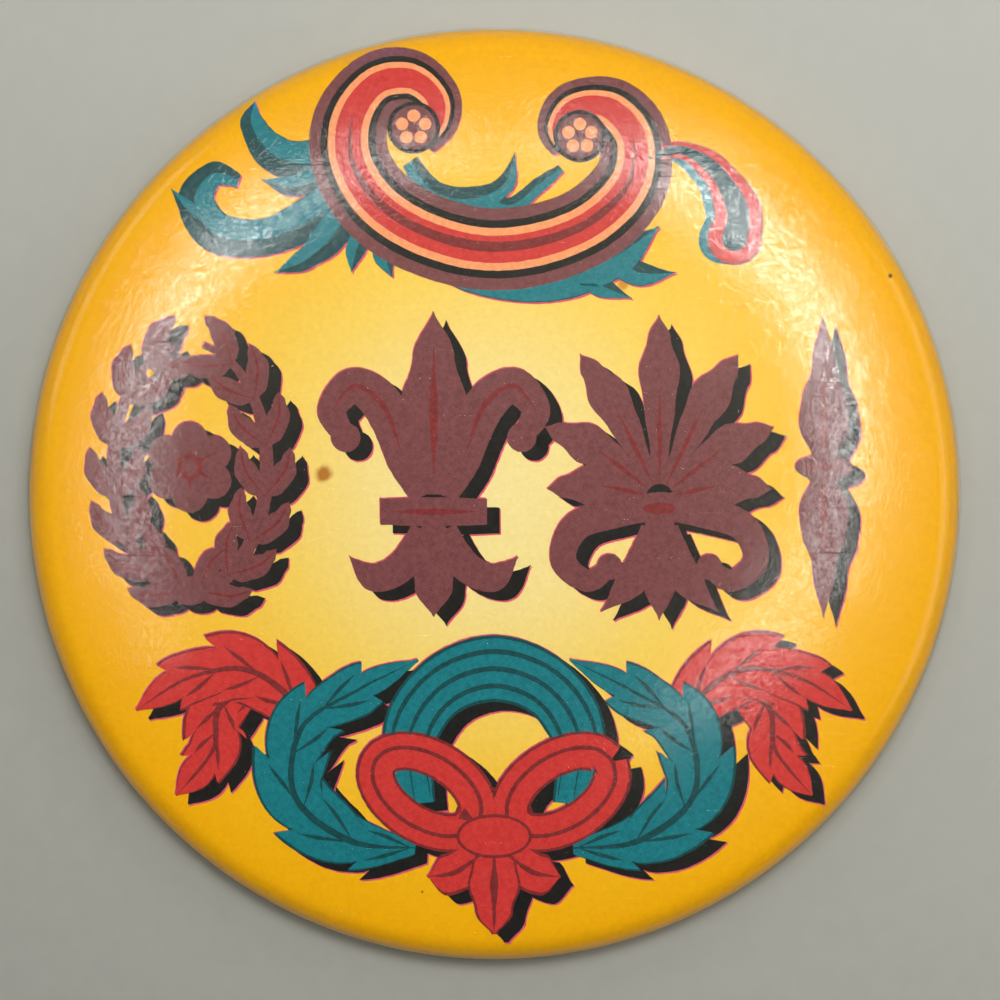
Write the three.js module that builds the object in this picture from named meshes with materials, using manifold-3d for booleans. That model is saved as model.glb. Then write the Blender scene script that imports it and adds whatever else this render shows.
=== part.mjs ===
import * as THREE from 'three';
import { mergeVertices } from 'three/addons/utils/BufferGeometryUtils.js';
import Module from 'manifold-3d';

// A 55 mm button badge, upright as it is worn: X across the face, Y from the face to the
// back, Z up. The origin is the centre of the back rim, where the badge meets the cloth.
// Sizes are in millimetres. Revolved outlines are (radius, y) pairs about the Y axis.

const badgeRadius = 27.5;
const badgeDepth = 6;          // back rim to the top of the dome
const crownRadius = 140;       // the gently domed face
const edgeRadius = 2;          // where the face turns down to the skirt
const curlRadius = 1;          // where the skirt turns in at the back
const backFlat = 1.5;          // flat stretch of the back rim
const tuckRadius = 0.75;       // where the rim turns in under itself

const filmThickness = 0.12;
const paperThickness = 0.12;
const shellThickness = 0.25;
const layerGap = 0.02;
const filmTuck = 1.3;          // how deep each layer's edge ends behind the rim
const paperTuck = 1.2;
const shellTuck = 1.1;

const plateThickness = 0.25;
const plateRecess = 2.5;       // the back plate's field lies this far inside the rim
const plateBend = 0.5;
const beadRadius = 0.65;       // the raised ring round the field
const beadCentre = 23.35;
const beadHeight = 0.95;
const flangeBend = 0.25;
const flangeDepth = 1.6;
const flangeRadius = 26.5;

const strapPlaces = [-8, 8];
const strapWidth = 3;
const strapClearance = 0.12;

const wireRadius = 0.4;
const coilRadius = 1.1;        // to the middle of the wire
const coilPitch = 0.88;
const coilTurns = 1.5;
const coilSplit = [0.94, 1.07]; // the leg's wire ends and the arm's wire starts, in turns
const coilX = -15.5;
const pinLean = THREE.MathUtils.degToRad(35);
const pinHeight = 3;           // the leg lies above the middle, so the badge hangs upright
const legGap = 0.08;           // between the leg and the plate
const hookX = 14;
const hookReach = 0.92;        // between the middles of the hook's and the arm's wire
const hookEnd = THREE.MathUtils.degToRad(-38);
const armDrop = 0.54;          // how far the arm leans in at the hook
const taperX = 12;
const tipX = 16.2;
const tipRadius = 0.05;

const ringSegments = 36;
const arcDivisions = 2;        // an arc gets twice as many segments
const wireSides = 8;
const wireStep = 0.5;

const wasm = await Module();
wasm.setup();

function toSolid(geometry) {
  const bare = geometry.clone();
  bare.deleteAttribute('normal');
  bare.deleteAttribute('uv');
  const merged = mergeVertices(bare, 1e-5);
  return new wasm.Manifold(new wasm.Mesh({
    numProp: 3,
    vertProperties: merged.attributes.position.array,
    triVerts: merged.index.array,
  }));
}

function toGeometry(solid) {
  const mesh = solid.getMesh();
  const geometry = new THREE.BufferGeometry();
  geometry.setAttribute('position', new THREE.BufferAttribute(mesh.vertProperties, 3));
  geometry.setIndex(new THREE.BufferAttribute(mesh.triVerts, 1));
  geometry.computeVertexNormals();
  return geometry;
}

// The badge's outer outline, set in by the given depth, from the crown to the tucked edge.
function skinLine(inset, tuck) {
  const right = Math.PI / 2;
  const crownCentre = crownRadius - badgeDepth;
  const edgeCentre = badgeRadius - edgeRadius;
  const slope = Math.asin(edgeCentre / (crownRadius - edgeRadius));
  const edgeY = crownCentre - (crownRadius - edgeRadius) * Math.cos(slope);
  const curlCentre = badgeRadius - curlRadius;
  const tuckCentre = curlCentre - backFlat;
  const line = new THREE.Path();
  line.moveTo(0, inset - badgeDepth);
  line.absarc(0, crownCentre, crownRadius - inset, -right, slope - right);
  line.absarc(edgeCentre, edgeY, edgeRadius - inset, slope - right, 0);
  line.absarc(curlCentre, -curlRadius, curlRadius - inset, 0, right);
  line.absarc(tuckCentre, -tuckRadius, tuckRadius - inset, right, 2 * right);
  line.lineTo(tuckCentre - tuckRadius + inset, -tuck);
  return line.getPoints(arcDivisions);
}

function lathe(outline) {
  return new THREE.LatheGeometry(outline, ringSegments);
}

function skin(inset, thickness, tuck) {
  const inner = skinLine(inset + thickness, tuck).reverse();
  return lathe([...skinLine(inset, tuck), ...inner]);
}

// One face of the back plate's sheet, half a thickness to either side of its middle.
function plateLine(side) {
  const right = Math.PI / 2;
  const fieldY = -plateRecess - plateThickness / 2;
  const wallRadius = beadCentre - beadRadius;
  const outerWall = beadCentre + beadRadius;
  const bendCentre = wallRadius - plateBend;
  const flangeCentre = outerWall + flangeBend;
  const line = new THREE.Path();
  line.moveTo(0, fieldY + side);
  line.lineTo(bendCentre, fieldY + side);
  line.absarc(bendCentre, fieldY + plateBend, plateBend - side, -right, 0);
  line.absarc(beadCentre, -beadHeight, beadRadius + side, 2 * right, 0, true);
  line.absarc(flangeCentre, flangeBend - flangeDepth, flangeBend - side, 2 * right, 3 * right);
  line.lineTo(flangeRadius, side - flangeDepth);
  return line.getPoints(arcDivisions);
}

const legY = wireRadius + legGap - plateRecess;

// A strap is a strip of the plate raised over the pin's leg, with the slot it leaves.
function strapOutline() {
  const inner = wireRadius + strapClearance;
  const outer = inner + plateThickness;
  const foot = -plateRecess - plateThickness / 2;
  const shape = new THREE.Shape();
  shape.moveTo(outer, foot);
  shape.absarc(0, legY, outer, 0, Math.PI);
  shape.lineTo(-outer, foot);
  shape.lineTo(-inner, foot);
  shape.absarc(0, legY, inner, Math.PI, 0, true);
  shape.lineTo(inner, foot);
  return shape;
}

function backPlate() {
  const outline = [...plateLine(-plateThickness / 2), ...plateLine(plateThickness / 2).reverse()];
  let plate = toSolid(lathe(outline));
  for (const x of strapPlaces) {
    const slot = new THREE.BoxGeometry(strapWidth, 1, 2 * (wireRadius + strapClearance));
    slot.translate(x, -plateRecess, pinHeight);
    const strap = new THREE.ExtrudeGeometry(strapOutline(), {
      depth: strapWidth,
      bevelEnabled: false,
      curveSegments: 4,
    });
    strap.translate(0, 0, -strapWidth / 2);
    strap.rotateY(Math.PI / 2);
    strap.translate(x, 0, pinHeight);
    plate = plate.subtract(toSolid(slot)).add(toSolid(strap));
  }
  return toGeometry(plate);
}

// A round arc or a helix: it turns from along the first direction towards the second.
class TurnCurve extends THREE.Curve {
  constructor({ centre, first, second, radius, from, to, rise = new THREE.Vector3() }) {
    super();
    Object.assign(this, { centre, first, second, radius, from, to, rise });
  }

  getPoint(t, target = new THREE.Vector3()) {
    const angle = this.from + (this.to - this.from) * t;
    return target.copy(this.centre)
      .addScaledVector(this.first, this.radius * Math.cos(angle))
      .addScaledVector(this.second, this.radius * Math.sin(angle))
      .addScaledVector(this.rise, t);
  }
}

const across = new THREE.Vector3(1, 0, 0);
const back = new THREE.Vector3(0, 1, 0);
const up = new THREE.Vector3(0, 0, 1);
const outward = new THREE.Vector3(0, Math.cos(pinLean), Math.sin(pinLean));
const hinge = new THREE.Vector3(0, -Math.sin(pinLean), Math.cos(pinLean));
const coilCentre = new THREE.Vector3(coilX, legY, pinHeight).addScaledVector(outward, coilRadius);

// The coil leaves the leg at its lowest point and winds round towards the arm.
function coil(fromTurn, toTurn) {
  const angle = (turn) => -Math.PI / 2 - turn * 2 * Math.PI;
  return new TurnCurve({
    centre: coilCentre.clone().addScaledVector(hinge, -coilPitch * fromTurn),
    first: across,
    second: outward,
    radius: coilRadius,
    from: angle(fromTurn),
    to: angle(toTurn),
    rise: hinge.clone().multiplyScalar(coilPitch * (fromTurn - toTurn)),
  });
}

function wire(path) {
  const section = new THREE.Shape();
  section.absarc(0, 0, wireRadius, 0, 2 * Math.PI);
  return new THREE.ExtrudeGeometry(section, {
    steps: Math.round(path.getLength() / wireStep),
    curveSegments: wireSides / 2,
    extrudePath: path,
  });
}

const armStart = coil(1, coilTurns).getPoint(1);

function armPoint(x) {
  const share = (x - coilX) / (hookX - coilX);
  const point = armStart.clone().addScaledVector(outward, -armDrop * share);
  return point.setX(x);
}

// One length of wire: the hook round the arm's point, the leg under the straps, the coil.
function pinWire() {
  const held = armPoint(hookX);
  const under = held.clone().addScaledVector(up, -hookReach);
  const bendX = hookX - 2;
  const path = new THREE.CurvePath();
  path.add(new TurnCurve({
    centre: held,
    first: back,
    second: up,
    radius: hookReach,
    from: hookEnd,
    to: -Math.PI / 2,
  }));
  path.add(new THREE.CubicBezierCurve3(
    under,
    under.clone().setY(legY + 0.3),
    new THREE.Vector3(hookX - 0.4, legY, pinHeight),
    new THREE.Vector3(bendX, legY, pinHeight),
  ));
  path.add(new THREE.LineCurve3(
    new THREE.Vector3(bendX, legY, pinHeight),
    new THREE.Vector3(coilX, legY, pinHeight),
  ));
  path.add(coil(0, coilSplit[0]));
  return wire(path);
}

// The sprung arm: the last of the coil, the straight arm and its point.
function pinArm() {
  const path = new THREE.CurvePath();
  path.add(coil(coilSplit[1], coilTurns));
  path.add(new THREE.LineCurve3(armStart, armPoint(taperX)));
  const root = armPoint(taperX - 0.2);
  const tip = armPoint(tipX);
  const length = root.distanceTo(tip);
  const point = new THREE.CylinderGeometry(tipRadius, wireRadius * 0.98, length, wireSides);
  const turn = new THREE.Quaternion().setFromUnitVectors(back, tip.clone().sub(root).normalize());
  point.applyQuaternion(turn);
  const middle = root.clone().add(tip).multiplyScalar(0.5);
  point.translate(middle.x, middle.y, middle.z);
  return toGeometry(toSolid(wire(path)).add(toSolid(point)));
}

const film = new THREE.MeshStandardMaterial({
  color: 0xf6efd8,
  roughness: 0.15,
  transparent: true,
  opacity: 0.3,
});
const print = new THREE.MeshStandardMaterial({ color: 0xf4b920, roughness: 0.5 });
const tinplate = new THREE.MeshStandardMaterial({ color: 0xb9bab6, roughness: 0.35, metalness: 1 });
const nickel = new THREE.MeshStandardMaterial({ color: 0xc6c4bd, roughness: 0.2, metalness: 1 });

const paperInset = filmThickness + layerGap;
const shellInset = paperInset + paperThickness + layerGap;
const parts = {
  clear_film: [skin(0, filmThickness, filmTuck), film],
  print_disc: [skin(paperInset, paperThickness, paperTuck), print],
  front_shell: [skin(shellInset, shellThickness, shellTuck), tinplate],
  back_plate: [backPlate(), tinplate],
  pin_wire: [pinWire(), nickel],
  pin_arm: [pinArm(), nickel],
};

const group = new THREE.Group();
for (const [name, [geometry, material]] of Object.entries(parts)) {
  const mesh = new THREE.Mesh(geometry, material);
  mesh.name = name;
  group.add(mesh);
}

export default group;
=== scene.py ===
import math

import bmesh
import bpy
from mathutils import Matrix, Vector, geometry, noise


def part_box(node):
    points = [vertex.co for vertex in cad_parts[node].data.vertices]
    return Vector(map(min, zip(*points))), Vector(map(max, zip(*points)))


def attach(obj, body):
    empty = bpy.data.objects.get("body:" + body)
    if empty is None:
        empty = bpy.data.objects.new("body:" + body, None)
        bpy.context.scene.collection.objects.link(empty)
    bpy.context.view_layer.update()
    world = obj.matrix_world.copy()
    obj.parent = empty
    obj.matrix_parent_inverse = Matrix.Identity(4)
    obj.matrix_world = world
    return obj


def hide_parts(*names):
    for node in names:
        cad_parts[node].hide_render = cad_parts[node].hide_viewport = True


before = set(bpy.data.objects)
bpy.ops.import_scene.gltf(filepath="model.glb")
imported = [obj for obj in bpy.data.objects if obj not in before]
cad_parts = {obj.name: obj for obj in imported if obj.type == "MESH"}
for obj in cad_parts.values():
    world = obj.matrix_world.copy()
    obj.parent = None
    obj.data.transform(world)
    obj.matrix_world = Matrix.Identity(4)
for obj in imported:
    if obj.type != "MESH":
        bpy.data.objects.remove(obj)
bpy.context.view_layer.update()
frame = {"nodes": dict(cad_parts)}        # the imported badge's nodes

mm = 0.001
noise.seed_set(5)        # the vector noise draws from the clock unless it is seeded
print("frame loaded:", ", ".join(frame["nodes"]))


def linearColour(hexColour):
    # an sRGB hex colour as the linear numbers that shaders take
    shares = [int(hexColour[i:i + 2], 16) / 255 for i in (1, 3, 5)]
    return [s / 12.92 if s <= 0.04045 else ((s + 0.055) / 1.055) ** 2.4 for s in shares] + [1.0]


def addNode(tree, kind, inputs=None, **settings):
    node = tree.nodes.new(kind)
    for name, value in settings.items():
        setattr(node, name, value)
    for key, value in (inputs or {}).items():
        socket = node.inputs[key]
        if isinstance(value, bpy.types.NodeSocket):
            tree.links.new(value, socket)
        elif isinstance(value, str):
            socket.default_value = linearColour(value)
        else:
            socket.default_value = value
    return node


def newMaterial(name):
    material = bpy.data.materials.new(name)
    material.use_nodes = True
    material.node_tree.nodes.clear()
    return material, material.node_tree


def finishMaterial(tree, surface):
    addNode(tree, "ShaderNodeOutputMaterial", {"Surface": surface})


def meshObject(name, bm, material, smooth=True):
    mesh = bpy.data.meshes.new(name)
    bm.to_mesh(mesh)
    bm.free()
    mesh.materials.append(material)
    for face in mesh.polygons:
        face.use_smooth = smooth
    piece = bpy.data.objects.new(name, mesh)
    bpy.context.scene.collection.objects.link(piece)
    return piece


def arcPoints(centre, radius, startDegrees, endDegrees, steps):
    turn = (endDegrees - startDegrees) / steps
    angles = [math.radians(startDegrees + turn * i) for i in range(steps + 1)]
    return [(centre[0] + radius * math.cos(a), centre[1] + radius * math.sin(a)) for a in angles]


# The badge's outer size comes from its film, the outermost skin. Millimetres throughout.
filmLow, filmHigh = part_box("clear_film")
skinForm = {
    "radius": (filmHigh.x - filmLow.x) / 2 / mm,
    "depth": (filmHigh.y - filmLow.y) / mm,
    "crownRadius": 140.0,     # the face is a shallow dome
    "edgeRadius": 2.0,        # where it turns down to the skirt
    "curlRadius": 1.0,        # where the skirt turns in at the back
    "backFlat": 1.5,
    "tuckRadius": 0.75,
    "turnSteps": 288,
    "pleatSteps": 480,        # the film needs more, for its pleats
}


def crownY(radius, inset):
    # the height of the dome, set in under the badge's outer skin
    centre = skinForm["crownRadius"] - skinForm["depth"]
    return centre - math.sqrt((skinForm["crownRadius"] - inset) ** 2 - radius ** 2)


def skinLine(inset, tuck):
    form = skinForm
    crownCentre = form["crownRadius"] - form["depth"]
    edgeCentre = form["radius"] - form["edgeRadius"]
    reach = form["crownRadius"] - form["edgeRadius"]
    slope = math.degrees(math.asin(edgeCentre / reach))
    edgeY = crownCentre - math.sqrt(reach ** 2 - edgeCentre ** 2)
    curlCentre = form["radius"] - form["curlRadius"]
    tuckCentre = curlCentre - form["backFlat"]
    line = arcPoints((0, crownCentre), form["crownRadius"] - inset, -90, slope - 90, 28)
    line += arcPoints((edgeCentre, edgeY), form["edgeRadius"] - inset, slope - 90, 0, 14)
    line += arcPoints((curlCentre, -form["curlRadius"]), form["curlRadius"] - inset, 0, 90, 10)
    line += arcPoints((tuckCentre, -form["tuckRadius"]), form["tuckRadius"] - inset, 90, 180, 8)
    line.append((tuckCentre - form["tuckRadius"] + inset, -tuck))
    return line


def revolve(name, outline, material, closed=True, steps=None):
    # outline is (radius, y) pairs, turned about the badge's Y axis
    steps = steps or skinForm["turnSteps"]
    bm = bmesh.new()
    corners = [bm.verts.new((r * mm, y * mm, 0)) for r, y in outline]
    for a, b in zip(corners, corners[1:]):
        bm.edges.new((a, b))
    if closed and outline[0][0] > 1e-6:
        bm.edges.new((corners[-1], corners[0]))
    bmesh.ops.spin(bm, geom=bm.verts[:] + bm.edges[:], cent=(0, 0, 0), axis=(0, 1, 0),
                   angle=2 * math.pi, steps=steps, use_merge=True)
    bmesh.ops.remove_doubles(bm, verts=bm.verts[:], dist=1e-7)
    bmesh.ops.recalc_face_normals(bm, faces=bm.faces[:])
    return meshObject(name, bm, material)


# Stage: the pale board that the badge lies against, the camera and the lights.
stageForm = {
    "boardGap": 0.02,         # behind the rim
    "boardReach": 900.0,
    "boardHole": 26.55,       # hidden by the badge: room for the pin, and light for the back
    "cameraDistance": 250.0,
    "viewWidth": 59.3,        # what the picture takes in at the rim, side to side
    # painted shade across the board: how fast it darkens towards the left and the bottom
    "boardShadeSlope": (4.4, 0, 10.0),
    "boardLow": "#999991",
    "boardHigh": "#bfbfb7",
    "tooth": 1.4,             # drawn coarser than real board, so that it shows
    "aside": (0.34, -0.32),   # the badge sits a little left of and above the middle
    "skyColour": "#dfe0de",
    "floorColour": "#5f5e59",
    "roomColour": "#2e2e2c",  # the dim part of the room that the face mirrors
    "farColour": "#d2d3ce",   # what the other views see behind the badge
    "worldStrength": 0.29,
}


def boardMaterial():
    # matt coated board: a pale grey with a faint tooth, and a painted shade that makes it
    # a little darker low on the left; from behind it isn't seen
    material, tree = newMaterial("mattCoatedBoard")
    place = addNode(tree, "ShaderNodeTexCoord").outputs["Object"]
    # painted shade: darker towards the bottom left, added to the board's tooth below
    slope = addNode(tree, "ShaderNodeVectorMath", {0: place, 1: stageForm["boardShadeSlope"]},
                    operation="DOT_PRODUCT")
    tooth = addNode(tree, "ShaderNodeTexNoise", {"Vector": place, "Detail": 3.0,
                                                "Scale": 1 / (stageForm["tooth"] * mm)})
    toothAndShade = addNode(tree, "ShaderNodeMath", {0: tooth.outputs["Fac"], 1: 0.16,
                                            2: slope.outputs["Value"]}, operation="MULTIPLY_ADD")
    tone = addNode(tree, "ShaderNodeMath", {0: toothAndShade.outputs[0], 1: 0.385}, use_clamp=True)
    colour = addNode(tree, "ShaderNodeMixRGB", {"Fac": tone.outputs[0],
                                               "Color1": stageForm["boardLow"],
                                               "Color2": stageForm["boardHigh"]})
    board = addNode(tree, "ShaderNodeBsdfDiffuse", {"Color": colour.outputs["Color"],
                                                   "Roughness": 0.6})
    clear = addNode(tree, "ShaderNodeBsdfTransparent")
    side = addNode(tree, "ShaderNodeNewGeometry")
    path = addNode(tree, "ShaderNodeLightPath")
    unseen = addNode(tree, "ShaderNodeMath", {0: side.outputs["Backfacing"],
                                             1: path.outputs["Is Camera Ray"]},
                     operation="MULTIPLY")
    mix = addNode(tree, "ShaderNodeMixShader", {0: unseen.outputs[0],
                                               1: board.outputs[0], 2: clear.outputs[0]})
    finishMaterial(tree, mix.outputs[0])
    return material


def makeBoard():
    bm = bmesh.new()
    edges = []
    for radius in (stageForm["boardHole"], stageForm["boardReach"]):
        hoop = bmesh.ops.create_circle(bm, cap_ends=False, segments=96, radius=radius * mm)
        edges += list({edge for v in hoop["verts"] for edge in v.link_edges})
    bmesh.ops.bridge_loops(bm, edges=edges)
    bmesh.ops.rotate(bm, verts=bm.verts, cent=(0, 0, 0), matrix=Matrix.Rotation(math.pi / 2, 3, "X"))
    bmesh.ops.translate(bm, verts=bm.verts, vec=(0, stageForm["boardGap"] * mm, 0))
    for face in bm.faces:
        face.normal_update()
        if face.normal.y > 0:
            face.normal_flip()
    meshObject("board", bm, boardMaterial(), smooth=False)


def makeCamera():
    view = bpy.data.cameras.new("camera")
    view.lens = view.sensor_width * stageForm["cameraDistance"] / stageForm["viewWidth"]
    view.clip_start = 0.01
    camera = bpy.data.objects.new("camera", view)
    right, up = stageForm["aside"]
    camera.location = (right * mm, -stageForm["cameraDistance"] * mm, up * mm)
    camera.rotation_euler = (math.radians(90), 0, 0)
    bpy.context.scene.collection.objects.link(camera)
    bpy.context.scene.camera = camera


def addLight(name, place, size, watts, mirrored):
    # size is along the ring round the view and across it; the light faces the badge
    lamp = bpy.data.lights.new(name, "AREA")
    lamp.shape = "RECTANGLE"
    lamp.size = size[0] * mm
    lamp.size_y = size[1] * mm
    lamp.energy = watts
    light = bpy.data.objects.new(name, lamp)
    away = Vector(place).normalized()
    along = Vector((0, -1, 0)).cross(away).normalized()
    facing = Matrix((along, away.cross(along), away)).transposed()
    light.matrix_world = Matrix.Translation(Vector(place) * mm) @ facing.to_4x4()
    light.visible_camera = False
    light.visible_glossy = mirrored
    bpy.context.scene.collection.objects.link(light)


# Two bowed strips of light, either side of the camera, give the broad gloss arcs. Each
# entry is (degrees round the view, degrees off it, share of the full brightness).
stripForm = {
    "distance": 360.0,
    "left": ((94, 23.4, 0.5), (108, 24.2, 0.7), (122, 24.8, 0.8), (136, 25.2, 1.3),
             (150, 25.4, 1.1), (164, 25.5, 0.8), (178, 25.3, 0.7), (192, 25.0, 0.5)),
    "right": ((70, 24.8, 0.9), (56, 25.4, 1.5), (42, 25.4, 1.6), (28, 25.2, 1.4), (14, 24.8, 1.2),
              (0, 24.0, 0.9), (-14, 22.6, 0.7), (-28, 21.0, 0.7), (-42, 19.4, 0.5)),
    "size": (80, 21),
    "watts": 0.027,
}
# Each plain light is (name, place, size, watts, whether the gloss mirrors it).
plainLights = [
    ("key", (80, -205, 240), (100, 100), 0.08, False),
    ("front", (15, -300, 58), (90, 90), 0.57, False),
    ("edgeLeft", (-620, -430, 350), (500, 300), 0.55, True),
    ("edgeRightCore", (640, -400, 20), (700, 160), 0.42, True),
    ("edgeRightMiddle", (640, -400, 20), (700, 340), 0.42, True),
    ("edgeRightFringe", (640, -400, 20), (700, 520), 0.42, True),
    ("backSoft", (60, 700, 120), (1300, 1300), 6.5, True),
    ("backSmall", (-260, 620, 420), (160, 160), 0.9, True),
]


def makeLights():
    for side in ("left", "right"):
        for turnDegrees, leanDegrees, share in stripForm[side]:
            turn = math.radians(turnDegrees)
            lean = math.radians(leanDegrees)
            out = stripForm["distance"] * math.sin(lean)
            ahead = -stripForm["distance"] * math.cos(lean)
            place = (out * math.cos(turn), ahead, out * math.sin(turn))
            addLight("strip", place, stripForm["size"], stripForm["watts"] * share, True)
    for name, place, size, watts, mirrored in plainLights:
        addLight(name, place, size, watts, mirrored)


def makeWorld():
    # a pale room, lighter overhead and dim beyond the camera
    world = bpy.data.worlds.new("studio")
    world.use_nodes = True
    tree = world.node_tree
    tree.nodes.clear()
    heading = addNode(tree, "ShaderNodeTexCoord").outputs["Generated"]
    split = addNode(tree, "ShaderNodeSeparateXYZ", {"Vector": heading})
    height = addNode(tree, "ShaderNodeMapRange", {0: split.outputs["Z"], 1: -0.6, 2: 0.5})
    walls = addNode(tree, "ShaderNodeMixRGB", {"Fac": height.outputs[0],
                                              "Color1": stageForm["floorColour"],
                                              "Color2": stageForm["skyColour"]})
    beyond = addNode(tree, "ShaderNodeMapRange", {0: split.outputs["Y"], 1: -0.74, 2: -0.86})
    room = addNode(tree, "ShaderNodeMixRGB", {"Fac": beyond.outputs[0],
                                             "Color1": walls.outputs["Color"],
                                             "Color2": stageForm["roomColour"]})
    lit = addNode(tree, "ShaderNodeBackground", {"Color": room.outputs["Color"],
                                                "Strength": stageForm["worldStrength"]})
    far = addNode(tree, "ShaderNodeBackground", {"Color": stageForm["farColour"]})
    path = addNode(tree, "ShaderNodeLightPath")
    seen = addNode(tree, "ShaderNodeMixShader", {0: path.outputs["Is Camera Ray"],
                                                1: lit.outputs[0], 2: far.outputs[0]})
    addNode(tree, "ShaderNodeOutputWorld", {"Surface": seen.outputs[0]})
    bpy.context.scene.world = world
    bpy.context.scene.view_settings.view_transform = "Standard"


makeCamera()
makeBoard()
makeLights()
makeWorld()
print("stage set")


filmForm = {
    "fibre": 0.36,            # how far apart the lumps of the paper's fibres are
    "dents": 3.8,
    "peelHeight": 0.006,
    "scratchTurns": (24, -58),
    "scratchLength": 9.0,
    "scratchWidth": 0.16,     # drawn coarser than the real hairlines, so that they show
    "rough": (0.06, 0.10),
}


def filmMaterial():
    # clear cellulose film, stretched over the print: a glassy gloss, broken up by a fine
    # orange peel and paper fibres that show through where a light is mirrored
    material, tree = newMaterial("stretchedClearFilm")
    place = addNode(tree, "ShaderNodeTexCoord").outputs["Object"]
    peel = addNode(tree, "ShaderNodeTexNoise", {
        "Vector": place, "Scale": 1 / (filmForm["fibre"] * mm), "Detail": 3.0, "Roughness": 0.7,
        "Distortion": 0.9})
    wear = addNode(tree, "ShaderNodeTexNoise", {
        "Vector": place, "Scale": 1 / (filmForm["dents"] * mm), "Detail": 2.0})
    relief = addNode(tree, "ShaderNodeMath", {0: wear.outputs["Fac"], 1: 2.0,
                                             2: peel.outputs["Fac"]}, operation="MULTIPLY_ADD")
    height = relief.outputs[0]
    for turnDegrees in filmForm["scratchTurns"]:
        drawn = addNode(tree, "ShaderNodeMapping", {
            "Vector": place, "Rotation": (0, math.radians(turnDegrees), 0),
            "Scale": (1 / (filmForm["scratchLength"] * mm), 1, 1 / (filmForm["scratchWidth"] * mm))})
        streaks = addNode(tree, "ShaderNodeTexNoise", {"Vector": drawn.outputs[0], "Scale": 1.0,
                                                      "Detail": 0.0})
        scratch = addNode(tree, "ShaderNodeMapRange", {0: streaks.outputs["Fac"], 1: 0.76,
                                                      2: 0.80, 3: 0.0, 4: -1.6})
        height = addNode(tree, "ShaderNodeMath", {0: height, 1: scratch.outputs[0]}).outputs[0]
    bump = addNode(tree, "ShaderNodeBump", {"Height": height, "Strength": 1.0,
                                           "Distance": filmForm["peelHeight"] * mm})
    haze = addNode(tree, "ShaderNodeMapRange", {0: wear.outputs["Fac"], 1: 0.3, 2: 0.7,
                                               3: filmForm["rough"][0], 4: filmForm["rough"][1]})
    gloss = addNode(tree, "ShaderNodeBsdfAnisotropic", {"Roughness": haze.outputs[0],
                                                       "Normal": bump.outputs[0]})
    through = addNode(tree, "ShaderNodeBsdfTransparent", {"Color": "#fffdf6"})
    mirror = addNode(tree, "ShaderNodeFresnel", {"IOR": 1.5})
    side = addNode(tree, "ShaderNodeNewGeometry")
    front = addNode(tree, "ShaderNodeMath", {0: 1.0, 1: side.outputs["Backfacing"]},
                    operation="SUBTRACT")
    patchy = addNode(tree, "ShaderNodeMapRange", {0: peel.outputs["Fac"], 1: 0.36, 2: 0.64,
                                                 3: 0.35, 4: 1.6})
    even = addNode(tree, "ShaderNodeMath", {0: mirror.outputs[0], 1: front.outputs[0]},
                   operation="MULTIPLY")
    share = addNode(tree, "ShaderNodeMath", {0: even.outputs[0], 1: patchy.outputs[0]},
                    operation="MULTIPLY")
    film = addNode(tree, "ShaderNodeMixShader", {0: share.outputs[0], 1: through.outputs[0],
                                                2: gloss.outputs[0]})
    path = addNode(tree, "ShaderNodeLightPath")
    mix = addNode(tree, "ShaderNodeMixShader", {0: path.outputs["Is Shadow Ray"],
                                               1: film.outputs[0], 2: through.outputs[0]})
    finishMaterial(tree, mix.outputs[0])
    return material


def filmInsideMaterial():
    # the film's underside lies on the print, so it mirrors nothing
    material, tree = newMaterial("clearFilmUnderside")
    through = addNode(tree, "ShaderNodeBsdfTransparent", {"Color": "#fffdf6"})
    finishMaterial(tree, through.outputs[0])
    return material


printForm = {
    "screen": 0.22,           # the halftone's dot spacing
    "screenTurn": 23,
    "mottle": 0.31,           # lumps of the paper that take the ink unevenly
    "cloud": 11.0,
    "stainEdge": 0.65,
}


def screenGrain(tree, place, strength):
    # the print's halftone, blurred by an uneven paper
    askew = (0, math.radians(printForm["screenTurn"]), 0)
    turned = addNode(tree, "ShaderNodeMapping", {"Vector": place, "Rotation": askew})
    split = addNode(tree, "ShaderNodeSeparateXYZ", {"Vector": turned.outputs[0]})
    dotsPerMetre = 1 / (printForm["screen"] * mm)
    waves = []
    for axis in ("X", "Z"):
        angle = addNode(tree, "ShaderNodeMath", {0: split.outputs[axis], 1: 2 * math.pi * dotsPerMetre},
                        operation="MULTIPLY")
        waves.append(addNode(tree, "ShaderNodeMath", {0: angle.outputs[0]}, operation="SINE"))
    dots = addNode(tree, "ShaderNodeMath", {0: waves[0].outputs[0], 1: waves[1].outputs[0]},
                   operation="MULTIPLY")
    mottle = addNode(tree, "ShaderNodeTexNoise", {
        "Vector": place, "Scale": 1 / (printForm["mottle"] * mm), "Detail": 3.0, "Roughness": 0.7})
    spread = addNode(tree, "ShaderNodeMapRange", {0: mottle.outputs["Fac"], 1: 0.25, 2: 0.75,
                                                 3: -1.0, 4: 1.0})
    both = addNode(tree, "ShaderNodeMath", {0: dots.outputs[0], 1: 0.45,
                                           2: spread.outputs[0]}, operation="MULTIPLY_ADD")
    return addNode(tree, "ShaderNodeMath", {0: both.outputs[0], 1: strength, 2: 0.5},
                   operation="MULTIPLY_ADD").outputs[0]


# The printed ground, from the middle of the face to the rim, as (radius in mm, colour).
groundColours = [(0.0, "#ece0ab"), (7.0, "#ecdb9c"), (13.0, "#edce68"), (18.0, "#eec03a"),
                 (22.5, "#edb41a"), (27.5, "#ebab04"), (30.0, "#e7a202")]
rustSpots = [((-9.9, 1.2), 0.62, "#a8641f"), ((7.5, 12.2), 0.42, "#c4872d"),
             ((23.2, 12.8), 0.16, "#4a3a22"), ((-4.2, -23.2), 0.10, "#7a5a20"),
             ((13.1, -17.6), 0.09, "#6d4d20")]


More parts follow.
